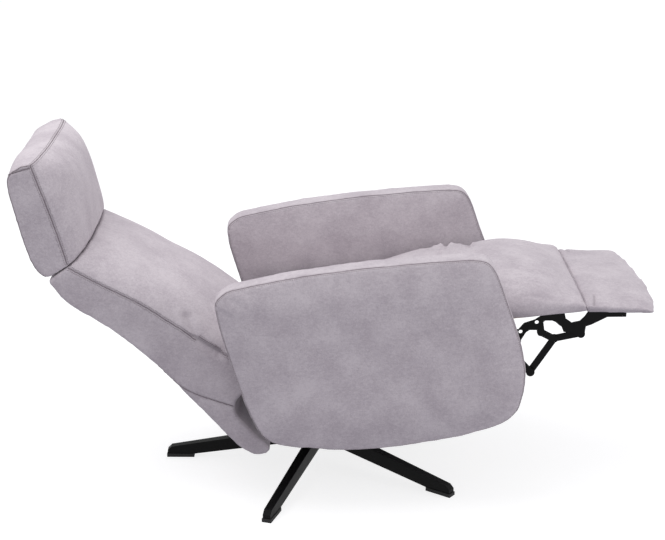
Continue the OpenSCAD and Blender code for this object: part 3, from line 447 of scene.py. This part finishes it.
def stuffed(rings, seams, voxel_mm, cap_mm, flat=None):
    """A sewn form as even cloth, blown up from inside while its seams hold, then smoothed once.
    flat(points in millimetres) says how firmly a part is held in place besides the seams."""
    piece = bpy.data.objects.new("form", lofted(rings))
    bpy.context.scene.collection.objects.link(piece)
    even = piece.modifiers.new("even", "REMESH")
    even.mode = "VOXEL"
    even.voxel_size = voxel_mm / metre_mm
    mesh = settled(piece)
    piece.modifiers.clear()
    piece.data = mesh
    start = places(mesh)
    gap, _ = seam_distances(start, seams)
    hold = np.clip((held_within_mm - gap) / held_fade_mm, 0, 1)
    if flat:
        hold = np.maximum(hold, flat(start * metre_mm))
    held = piece.vertex_groups.new(name="held")
    for i in np.nonzero(hold > 0.01)[0]:
        held.add([int(i)], float(hold[i]), "REPLACE")
    cloth = piece.modifiers.new("cloth", "CLOTH")
    cloth.settings.quality = 4
    cloth.settings.mass = 0.2
    cloth.settings.tension_stiffness = 18
    cloth.settings.compression_stiffness = 18
    cloth.settings.shear_stiffness = 6
    cloth.settings.bending_stiffness = 1.5
    cloth.settings.use_pressure = True
    cloth.settings.uniform_pressure_force = 4.0
    cloth.settings.vertex_group_mass = "held"
    cloth.settings.effector_weights.gravity = 0
    cloth.collision_settings.use_collision = False
    cloth.point_cache.frame_start = 1
    cloth.point_cache.frame_end = stuffing_steps
    for step in range(1, stuffing_steps + 1):
        bpy.context.scene.frame_set(step)
    move = places(settled(piece)) - start
    piece.modifiers.clear()
    bpy.context.scene.frame_set(1)
    size = np.linalg.norm(move, axis=1, keepdims=True) + 1e-9
    cap = cap_mm / metre_mm
    put(mesh, start + move * cap * np.tanh(size / cap) / size)
    smooth = piece.modifiers.new("smooth", "SUBSURF")
    smooth.levels = smooth.render_levels = 1
    mesh = settled(piece)
    bpy.data.objects.remove(piece)
    return mesh


long_pucker_mm = 26
short_pucker_mm = 11
short_pucker_share = 0.6
pucker_reach_mm = 7
seam_shade_mm = 2.6


def sew(mesh, seams, depth_mm, width_mm, pucker_mm, shade_share=0.7):
    """Draws the cloth in at its seams, puckers it a little beside them and paints shade into the crease."""
    co = places(mesh)
    gap, along = seam_distances(co, seams)
    ease = np.array([noise.noise((s / long_pucker_mm, 3.7, 0.4))
                     + short_pucker_share * noise.noise((s / short_pucker_mm, 9.1, 2.2)) for s in along])
    pucker = pucker_mm * ease * gap / pucker_reach_mm * np.exp(1 - gap / pucker_reach_mm)
    drawn = -depth_mm * np.exp(-(gap / width_mm) ** 2) + pucker
    put(mesh, co + directions(mesh) * (drawn / metre_mm)[:, None])
    # seam_shade is painted shade: darkest on the seam line, by shade_share, fading within a few millimetres
    shade = mesh.attributes.get("seam_shade") or mesh.attributes.new("seam_shade", "FLOAT", "POINT")
    before = np.empty(len(co), np.float32)
    shade.data.foreach_get("value", before)
    dark = shade_share * np.exp(-(gap / seam_shade_mm) ** 2)
    shade.data.foreach_set("value", np.maximum(before, dark).astype(np.float32))


def laid_on(mesh, line):
    """A line in millimetres, moved onto the cloth."""
    surface = BVHTree.FromPolygons([v.co for v in mesh.vertices], [p.vertices for p in mesh.polygons])
    return [surface.find_nearest(Vector(p) / metre_mm)[0] * metre_mm for p in line]


def soften(mesh, amount_mm, size_mm, seed):
    """Foam is never quite even, so the cover over it waves by a millimetre or so."""
    co = places(mesh)
    wave = np.array([noise.noise(Vector(p) * metre_mm / size_mm + Vector((seed, 0, 0))) for p in co])
    put(mesh, co + directions(mesh) * (wave * amount_mm / metre_mm)[:, None])


def finished(name, mesh, material, turn=lean):
    """The piece itself: turned to the seat unit's lean, smooth, and with its cover on."""
    mesh.transform(turn)
    mesh.polygons.foreach_set("use_smooth", [True] * len(mesh.polygons))
    mesh.materials.clear()
    mesh.materials.append(material)
    mesh.name = name
    mesh.update()
    piece = bpy.data.objects.new(name, mesh)
    bpy.context.scene.collection.objects.link(piece)
    return piece


stitch_pitch_mm = 5.2
stitch_size = (0.0036, 0.0009, 0.0007, 1)
# The closed seam's line is partly thread and partly painted shade of its groove
seam_line_size = (0.0062, 0.0022, 0.0008, 1)


def stitches(name, mesh, rows):
    """Topstitching: short threads on the cover, in rows beside the seams at their offsets.
    A row at offset 0 is the closed seam itself, one long dark line that stands for its thread and partly for
    painted shade in the seam's groove."""
    surface = BVHTree.FromPolygons([v.co for v in mesh.vertices], [p.vertices for p in mesh.polygons])
    bm = bmesh.new()
    for line, offset in rows:
        points, _ = sampled(line, stitch_pitch_mm)
        for i in range(1, len(points) - 1):
            run = Vector(points[i + 1] - points[i - 1]).normalized()
            spot, out, _, _ = surface.find_nearest(Vector(points[i]))
            across = run.cross(out).normalized()
            spot, out, _, _ = surface.find_nearest(spot + across * offset / metre_mm)
            across = out.cross(run).normalized()
            turn = Matrix((run, across, out)).transposed().to_4x4()
            turn.translation = spot
            size = stitch_size if offset else seam_line_size
            bmesh.ops.create_cube(bm, size=1, matrix=turn @ Matrix.Diagonal(size))
    sewn = bpy.data.meshes.new(name)
    bm.to_mesh(sewn)
    bm.free()
    return sewn


arm_outline = [(-213, 563), (-207, 579), (-190, 592), (-159, 602), (-26, 615), (116, 620), (268, 619),
               (368, 615), (422, 608), (442, 594), (457, 563), (474, 492), (494, 409), (501, 358),
               (502, 316), (492, 258), (469, 212), (416, 184), (308, 168), (173, 159), (69, 163),
               (-34, 180), (-95, 193), (-130, 211), (-156, 254), (-181, 347), (-199, 448), (-211, 515)]
arm_middle = np.array((143.5, 394))
arm_inner_seam = 286
arm_outer_seam = 344
arm_strip_held = (288, 342, 0.7)
arm_inner_limit = 0.2702
row_offset = 5
# Places across the arm, each with the size of its ring
arm_steps = [(276, 0.84), (278.5, 0.92), (282, 0.97), (arm_inner_seam, 1), (305, 1.002), (325, 1.002),
             (arm_outer_seam, 1), (352, 0.97), (357.5, 0.92), (360, 0.84)]
arm_curve = hand_curve(arm_outline, 5, closed=True)


def arm_ring(y, size):
    """The arm's outline at one place across it."""
    return [(q[0], y, q[1]) for q in (arm_middle + (p - arm_middle) * size for p in arm_curve)]


arm_seams = [arm_ring(y, 1) + arm_ring(y, 1)[:1] for y in (arm_inner_seam, arm_outer_seam)]


def arm_flat(p):
    """The strip between the seams is tight over the board's edge."""
    start, end, share = arm_strip_held
    return np.where((p[:, 1] > start) & (p[:, 1] < end), share, 0.0)


arm_mesh = stuffed([arm_ring(y, s) for y, s in arm_steps], arm_seams, voxel_mm=6.0, cap_mm=9, flat=arm_flat)
soften(arm_mesh, amount_mm=1.6, size_mm=70, seed=4)
sew(arm_mesh, arm_seams, depth_mm=1.8, width_mm=3.0, pucker_mm=0.9)
# The inner panel is flat where the seat presses on it
co = places(arm_mesh)
co[:, 1] = np.maximum(co[:, 1], arm_inner_limit)
put(arm_mesh, co)
arm_thread = stitches("arm_thread", arm_mesh, [(arm_seams[0], 0), (arm_seams[1], 0),
                                               (arm_seams[0], row_offset), (arm_seams[1], -row_offset)])
for side, name in ((1, "left"), (-1, "right")):
    turn = lean @ Matrix.Diagonal((1, side, 1, 1))
    cover = finished(f"arm_cover_{name}", arm_mesh.copy(), velour, turn)
    seam_thread = finished(f"arm_stitching_{name}", arm_thread.copy(), thread, turn)
    for piece in (cover, seam_thread):
        if side < 0:
            piece.data.flip_normals()
        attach(piece, "seat_unit")
    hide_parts(f"arm_core_{name}", f"arm_strip_{name}", f"arm_outer_pad_{name}",
                f"arm_inner_pad_{name}")


# Seat: one foam cushion on the webbing, under a cover that runs on over the nose to the footrest.
# The cover is gathered in loose folds over the hinge.
width_shares = [-1, -0.985, -0.95, -0.89, -0.8, -0.66, -0.45, -0.2, 0,
                0.2, 0.45, 0.66, 0.8, 0.89, 0.95, 0.985, 1]
crown_steps = 4
crown_flatness = 3
crown_fullness = 0.6


def crown_rise(t):
    """How far a crowned pad has risen from its side, 0, to its middle, 1."""
    return (1 - abs(t) ** crown_flatness) ** crown_fullness


def crowned_rings(side_line, middle_line, back_line, half_width, tuck=1.0, reach=None, drop=None):
    """Rings of a crowned pad, from its right side to its left, with the line that closes each ring.
    half_width(x) is half the pad's width, and tuck narrows the closing line. reach(t) stretches a
    ring from its start, and drop(t, x) lowers its front."""
    side, middle, closing = (np.array(hand_curve(line, crown_steps))
                             for line in (side_line, middle_line, back_line))
    rings = []
    for t in width_shares:
        front = side + (middle - side) * crown_rise(t)
        far = reach(t) if reach else 1
        ring = ([(x, t * half_width(x), z - (drop(t, x) if drop else 0)) for x, z in front]
                + [(x, t * half_width(x) * tuck, z) for x, z in closing])
        rings.append([(side[0][0] + (x - side[0][0]) * far, y, z) for x, y, z in ring])
    return rings


def crown_count(side_line):
    """How many points of a ring lie on its crowned side."""
    return (len(side_line) - 1) * crown_steps + 1


seat_half = 260
footrest_narrower = 11
hinge_start_x = 400
hinge_run = 50


def seat_half_width(x):
    """Half the cover's width, which is less on the footrest."""
    return seat_half - footrest_narrower * min(max((x - hinge_start_x) / hinge_run, 0), 1)


seat_side = [(-91, 430), (-88, 434), (-66, 434), (66, 431), (190, 433), (252, 443), (310, 451), (360, 454),
             (408, 455), (432, 453), (452, 449), (480, 443), (522, 441), (573, 441), (628, 438), (672, 436)]
seat_middle = [(-91, 430), (-88, 444), (-62, 454), (66, 461), (190, 469), (252, 481), (310, 492), (360, 499),
               (408, 497), (432, 494), (456, 501), (500, 508), (535, 507), (575, 496), (628, 463), (672, 444)]
seat_under = [(672, 416), (600, 416), (500, 417), (449, 417), (446, 433), (412, 433), (397, 426), (200, 426),
              (0, 426), (-91, 426)]
seat_rings = crowned_rings(seat_side, seat_middle, seat_under, seat_half_width, tuck=0.98)
front_count = crown_count(seat_side)
seat_low_edge = [[seat_rings[k][j] for j in range(front_count, len(seat_rings[0]))] for k in (0, -1)]
seat_front_seam = [ring[front_count - 1] for ring in seat_rings]
seat_deck_z = 428
seat_deck_end_x = 410
footrest_board_z = 419


def seat_flat(p):
    """The cover lies flat on the webbing and on the footrest's board."""
    on_webbing = (p[:, 2] < seat_deck_z) & (p[:, 0] < seat_deck_end_x)
    return np.where(on_webbing | (p[:, 2] < footrest_board_z), 1.0, 0.0)


seat_mesh = stuffed(seat_rings, [seat_front_seam] + seat_low_edge, voxel_mm=7.0, cap_mm=12, flat=seat_flat)
soften(seat_mesh, amount_mm=2.2, size_mm=80, seed=9)
# Loose folds across the nose, a few millimetres high, and deeper beside the left arm
nose_x = 372
nose_reach = 62
nose_low_z = 470
nose_rise = 20
fold_lengths = (46, 150, 90)
fold_height = 8
fold_level = 1.1
# Roughness, lacunarity, octaves, offset and gain of the ridges
fold_ridges = (0.9, 2.0, 2, 1.0, 2.0)
co = places(seat_mesh) * metre_mm
up = directions(seat_mesh)
reach = np.exp(-((co[:, 0] - nose_x) / nose_reach) ** 2) * np.clip((co[:, 2] - nose_low_z) / nose_rise, 0, 1)
fold = []
for x, y, z in co:
    drift = 0.3 * noise.noise((x / 60, y / 70, 5))
    spot = (x / fold_lengths[0] + drift, y / fold_lengths[1], z / fold_lengths[2])
    fold.append(noise.ridged_multi_fractal(spot, *fold_ridges))
reach *= 1 + 0.9 * np.clip(co[:, 1] / 200, -0.4, 1)
put(seat_mesh, (co + up * (reach * (np.array(fold) - fold_level) * fold_height)[:, None]) / metre_mm)
# Two deeper folds start at each arm and die out towards the middle
side_folds = [[(x, 252 * side, 456), (x + 4, 190 * side, 476), (x - 6, 110 * side, 492)]
              for x in (368, 430) for side in (-1, 1)]
# The sew below also paints shade into the folds' creases
sew(seat_mesh, [laid_on(seat_mesh, hand_curve(line, 8)) for line in side_folds],
    depth_mm=7.0, width_mm=10, pucker_mm=2.0, shade_share=0.3)
sew(seat_mesh, [seat_front_seam], depth_mm=3.0, width_mm=6, pucker_mm=1.2)
seat_cover = finished("seat_cover", seat_mesh, velour)
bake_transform(seat_cover)
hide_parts("seat_cushion", "main_pad")


# Seat gusset: a soft roll of the same cover between the seat's rear edge and the back's foot.
# It is sewn to both and hides the hinge from above.
gusset_line = [(-76, 442), (-100, 436), (-125, 424), (-148, 409), (-160, 397), (-154, 387), (-134, 394),
               (-110, 407), (-86, 420), (-70, 430)]
gusset_across = (-230, -222, -160, -80, 0, 80, 160, 222, 230)
gusset_steps = 3
gusset_rings = [[(x, y, z) for x, z in hand_curve(gusset_line, gusset_steps, closed=True)]
                for y in gusset_across]
# One seam runs along the seat's edge and the other along the back's foot
gusset_seams = [[ring[j] for ring in gusset_rings] for j in (0, 4 * gusset_steps)]
gusset_mesh = stuffed(gusset_rings, gusset_seams, voxel_mm=6.0, cap_mm=4)
soften(gusset_mesh, amount_mm=1.5, size_mm=60, seed=15)
seat_gusset = finished("seat_gusset", gusset_mesh, velour)
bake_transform(seat_gusset)


# Footrest flap: foam on a narrow board, in a cover pulled over its edges and stapled below.
# It is seamed to the footrest's main cover across the hinge, with a short pleat at each side.
flap_side = [(670, 434), (680, 432), (695, 429), (728, 423), (780, 415), (815, 409), (833, 402)]
flap_middle = [(670, 441), (680, 442), (695, 441), (728, 437), (780, 427), (815, 417), (839, 403)]
flap_under = [(834, 393), (815, 394.5), (745, 405), (690, 412), (670, 415)]
tip_across = (-1, -0.72, -0.36, 0, 0.44, 0.77, 1)
tip_reach = (1.0, 1.06, 1.085, 1.08, 1.04, 1.0, 0.96)
flap_half = 250
# The left side hangs lower, and least at the tip
droop_across = (0.2, 0.8, 0.95, 1)
droop = (0, 4, 7, 13)
droop_end_x = 845
droop_run = 90
droop_least = 0.2
flap_rings = crowned_rings(flap_side, flap_middle, flap_under, lambda x: flap_half, tuck=0.965,
                           reach=lambda t: np.interp(t, tip_across, tip_reach),
                           drop=lambda t, x: (np.interp(t, droop_across, droop)
                                              * min(max((droop_end_x - x) / droop_run, droop_least), 1)))
front_count = crown_count(flap_side)
flap_low_edge = [[flap_rings[k][j] for j in range(front_count - 1, len(flap_rings[0]))] for k in (0, -1)]
flap_rear_seam = [ring[0] for ring in flap_rings]
flap_tip_edge = [ring[front_count] for ring in flap_rings]
flap_mesh = stuffed(flap_rings, [flap_rear_seam, flap_tip_edge] + flap_low_edge, voxel_mm=6.0, cap_mm=5)
soften(flap_mesh, amount_mm=1.8, size_mm=60, seed=2)
sew(flap_mesh, [flap_rear_seam], depth_mm=3.0, width_mm=6, pucker_mm=1.2)
# A short pleat at each side takes up the cover where the flap's corner turns
pleats = [[(699, 190 * side, 442), (695, 218 * side, 440), (690, 243 * side, 434)] for side in (-1, 1)]
# The pleats' creases also get painted shade
sew(flap_mesh, [laid_on(flap_mesh, line) for line in pleats],
    depth_mm=3.5, width_mm=5, pucker_mm=1.0, shade_share=0.45)
flap_cover = finished("flap_cover", flap_mesh, velour)
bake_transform(flap_cover)
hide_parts("flap_pad")


# Back: a deep foam cushion on a steel frame, in one cover with plain side and rear panels.
# The cover ends in a padded skirt that hangs behind the seat and hides the hinge.
back_side = [(-558, 670), (-483, 616), (-396, 557), (-333, 503), (-291, 469), (-230, 421), (-167, 370)]
back_middle = [(-508, 699), (-450, 668), (-366, 609), (-297, 563), (-236, 517), (-186, 467), (-145, 415)]
back_rear = [(-162, 314), (-203, 280), (-205, 250), (-197, 233), (-166, 190), (-133, 152), (-139, 138),
             (-158, 132), (-177, 136), (-203, 156), (-227, 185), (-254, 223), (-314, 307), (-360, 371),
             (-433, 457), (-515, 531), (-571, 578), (-611, 640)]
back_half = 250
back_rings = crowned_rings(back_side, back_middle, back_rear, lambda x: back_half)
front_count = crown_count(back_side)
back_edge = [[back_rings[k][j] for j in range(front_count)] for k in (0, -1)]
back_rear_edge = [[back_rings[k][j] for j in range(front_count, len(back_rings[0]))] for k in (0, -1)]
back_top_edge = [[ring[j] for ring in back_rings] for j in (0, len(back_rings[0]) - 1)]
skirt_line = [(-386, 392), (-344, 349), (-301, 316), (-242, 286), (-204, 268)]
skirt_seams = [hand_curve([(x, y, z) for x, z in skirt_line], 6) for y in (-back_half, back_half)]
back_top_point = (-507, 696)
back_top_facing = (-0.5, 0.866)
back_top_depth = 10


def back_flat(p):
    """The top is pulled tight over its board, to leave room for the headrest as it tips."""
    above = (back_top_facing[1] * (p[:, 2] - back_top_point[1])
             + back_top_facing[0] * (p[:, 0] - back_top_point[0]))
    return np.where(above > -back_top_depth, 1.0, 0.0)


back_mesh = stuffed(back_rings, back_edge + back_rear_edge + back_top_edge + skirt_seams,
                    voxel_mm=6.5, cap_mm=10, flat=back_flat)
soften(back_mesh, amount_mm=2.0, size_mm=90, seed=6)
sew(back_mesh, back_edge + back_rear_edge + skirt_seams,
    depth_mm=1.8, width_mm=3.0, pucker_mm=0.9, shade_share=0.55)
# The cover folds where the arms press into the cushion's lower corners
pinch_line = [(-284, 236, 514), (-284, 240, 489), (-280, 242, 468), (-267, 243, 443), (-230, 243, 413)]
pinches = [hand_curve([(x, y * side, z) for x, y, z in pinch_line], 6) for side in (-1, 1)]
# The pinch folds also get a faint painted shade
sew(back_mesh, [laid_on(back_mesh, line) for line in pinches],
    depth_mm=8.0, width_mm=14, pucker_mm=0.0, shade_share=0.12)
seam_rows = (0, row_offset, -row_offset)
back_thread = stitches("back_thread", back_mesh,
                       [(line, offset) for line in back_edge for offset in seam_rows]
                       + [(line, 0) for line in skirt_seams])
back_cover = finished("back_cover", back_mesh, velour)
back_stitching = finished("back_stitching", back_thread, thread)
for piece in (back_cover, back_stitching):
    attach(piece, "backrest")
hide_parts("back_side_left", "back_side_right", "back_rear_panel", "back_skirt", "back_cushion")


# Headrest: a thick foam pillow with a boxed side, hinged on the back so that it can be tipped.
# Its front panel is deeply crowned, and the side seams are stitched on both sides.
headrest_side = [(-605, 929), (-596, 885), (-584, 830), (-573, 775), (-563, 718), (-556, 671)]
headrest_middle = [(-581, 939), (-540, 906), (-520, 858), (-511, 800), (-506, 745), (-505, 706)]
headrest_rear = [(-590, 656), (-612, 650), (-630, 665), (-643, 694), (-654, 752), (-661, 804), (-668, 861),
                 (-671, 893), (-668, 912), (-657, 927), (-633, 935)]
headrest_half = 250
headrest_rings = crowned_rings(headrest_side, headrest_middle, headrest_rear, lambda x: headrest_half)
# The top boxing is rounded at its rear corners
corner_share = 0.5
corner_low_z = 860
corner_rise = 60
corner_front_x = -612
corner_run = 30
corner_in = 5
corner_down = 11
for t, ring in zip(width_shares, headrest_rings):
    turned = min(max((abs(t) - corner_share) / (1 - corner_share), 0), 1) ** 2
    for j, (x, y, z) in enumerate(ring):
        corner = (turned * min(max((z - corner_low_z) / corner_rise, 0), 1)
                  * min(max((corner_front_x - x) / corner_run, 0), 1))
        ring[j] = (x + corner_in * corner, y, z - corner_down * corner)
front_count = crown_count(headrest_side)
headrest_edge = [[headrest_rings[k][j] for j in range(front_count)] for k in (0, -1)]
headrest_rear_edge = [headrest_rings[k][front_count + crown_steps:] + [headrest_rings[k][0]] for k in (0, -1)]
headrest_top_seam = [ring[0] for ring in headrest_rings]
headrest_foot_seam = [ring[front_count - 1] for ring in headrest_rings]
headrest_cross_seams = [[(-666, y, 912), (-636, y, 916), (-604, y, 922)]
                        for y in (-headrest_half, headrest_half)]
headrest_seams = (headrest_edge + headrest_rear_edge + headrest_cross_seams
                  + [headrest_top_seam, headrest_foot_seam])
headrest_foot_z = 674


def headrest_flat(p):
    """The foot is pulled tight, to clear the back's top as the headrest tips."""
    return np.where(p[:, 2] < headrest_foot_z, 1.0, 0.0)


headrest_mesh = stuffed(headrest_rings, headrest_seams, voxel_mm=6.0, cap_mm=10, flat=headrest_flat)
soften(headrest_mesh, amount_mm=1.8, size_mm=80, seed=12)
sew(headrest_mesh, headrest_seams, depth_mm=1.8, width_mm=3.0, pucker_mm=1.0, shade_share=0.55)
headrest_front_seams = headrest_edge + [headrest_top_seam]
headrest_thread = stitches("headrest_thread", headrest_mesh,
                           [(line, offset) for line in headrest_front_seams for offset in seam_rows]
                           + [(line, 0) for line in headrest_rear_edge + headrest_cross_seams])
headrest_cover = finished("headrest_cover", headrest_mesh, velour)
headrest_stitching = finished("headrest_stitching", headrest_thread, thread)
for piece in (headrest_cover, headrest_stitching):
    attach(piece, "headrest")
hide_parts("headrest_core", "headrest_pad")
